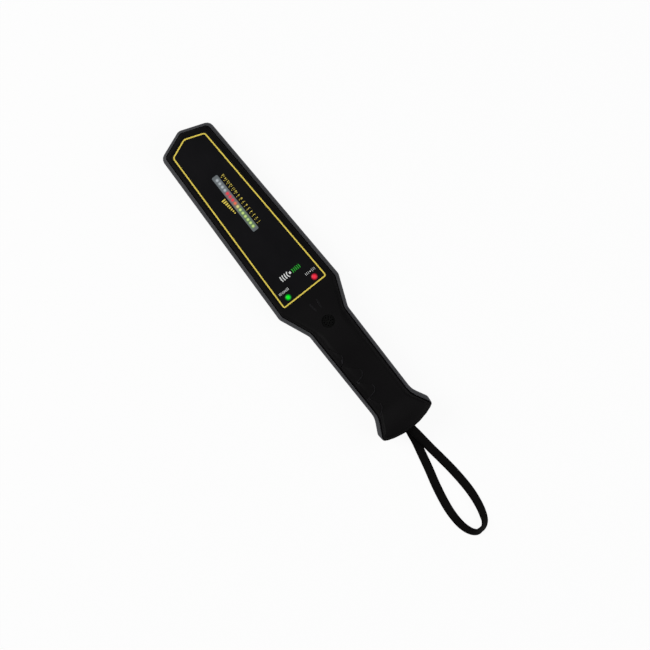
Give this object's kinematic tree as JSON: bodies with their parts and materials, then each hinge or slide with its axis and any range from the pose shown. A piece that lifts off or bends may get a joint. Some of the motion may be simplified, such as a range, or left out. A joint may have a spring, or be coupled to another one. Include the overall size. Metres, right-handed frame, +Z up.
{
  "type": "hand-held metal detector",
  "caption": "Paddle-shaped hand-held metal detector wand with a lamp bar, side trim, finger rests, hinged battery door, side switch and button, and a free wrist strap at the butt.",
  "frame": {"origin": "on the surface it lies on, below the middle of the body's length and width", "axes": "+X from the tip of the search head to the butt of the handle, +Y across the body, +Z up out of the display face"},
  "size_m": [0.5497, 0.0822, 0.044],
  "materials": {
    "black_abs": "fine moulded texture",
    "grey_trim": "matt moulded",
    "face_label": "smooth printed film",
    "window": "translucent moulded",
    "led_off": "clear epoxy, unlit",
    "led_red": "lit epoxy",
    "led_amber": "lit epoxy",
    "led_green": "lit epoxy",
    "ready_green": "translucent moulded",
    "alert_red": "translucent moulded",
    "circuit_board": "glass epoxy with green resist",
    "component": "moulded epoxy",
    "copper_winding": "enamelled copper wire",
    "white_nylon": "natural nylon",
    "plated_steel": "zinc plated",
    "speaker_paper": "pressed paper",
    "battery_can": "plain steel can",
    "red_lead": "PVC insulation",
    "black_lead": "PVC insulation",
    "strap_webbing": "smooth finished synthetic leather"
  },
  "bodies": {
    "wand_body": {"top_shell": "black_abs", "bottom_shell": "black_abs", "side_trim": "grey_trim", "face_label": "face_label", "bar_window": "window", "bar_led_01": "led_off", "bar_led_02": "led_off", "bar_led_03": "led_off", "bar_led_04": "led_off", "bar_led_05": "led_red", "bar_led_06": "led_red", "bar_led_07": "led_red", "bar_led_08": "led_amber", "bar_led_09": "led_amber", "bar_led_10": "led_green", "bar_led_11": "led_green", "bar_led_12": "led_green", "bar_led_13": "led_green", "bar_led_14": "led_green", "bar_led_15": "led_green", "ready_lens": "ready_green", "alert_lens": "alert_red", "ready_led": "ready_green", "alert_led": "alert_red", "speaker_grille": "black_abs", "speaker_basket": "plated_steel", "speaker_cone": "speaker_paper", "speaker_magnet": "plated_steel", "coil_former": "white_nylon", "search_coil": "copper_winding", "coil_lead": "black_lead", "main_board": "circuit_board", "control_chip": "component", "capacitor_1": "component", "capacitor_2": "component", "tuning_trimmer": "white_nylon", "control_board": "circuit_board", "board_link": "white_nylon", "switch_body": "plated_steel", "button_contact": "component", "motor_clip": "plated_steel", "motor_case": "plated_steel", "battery": "battery_can", "battery_snap": "black_lead", "battery_lead_red": "red_lead", "battery_lead_black": "black_lead", "case_screw_1": "plated_steel", "case_screw_2": "plated_steel", "case_screw_3": "plated_steel", "case_screw_4": "plated_steel", "case_screw_5": "plated_steel", "case_screw_6": "plated_steel", "case_screw_7": "plated_steel", "strap_pin": "plated_steel", "strap_anchor": "plated_steel", "wrist_strap": "strap_webbing"},
    "power_switch": {"switch_knob": "black_abs"},
    "button": {"sensitivity_button": "black_abs"},
    "vibration_weight": {"motor_weight": "plated_steel"},
    "door": {"battery_door": "black_abs"}
  },
  "joints": [
    {"name": "switch_slide", "type": "slide", "parent": "wand_body", "child": "power_switch", "axis": [1, 0, 0], "range_m": [-0.0035, 0.0035]},
    {"name": "button_press", "type": "slide", "parent": "wand_body", "child": "button", "axis": [0, 1, 0], "range_m": [0, 0.0012], "stiffness_N_per_m": 1200},
    {"name": "motor_spin", "type": "hinge", "parent": "wand_body", "child": "vibration_weight", "pos_m": [0.087, 0, 0.0205], "axis": [0, 1, 0], "continuous": true},
    {"name": "door_hinge", "type": "hinge", "parent": "wand_body", "child": "door", "pos_m": [0.107, 0, 0.0003], "axis": [0, 1, 0], "range_deg": [0, 75]}
  ]
}
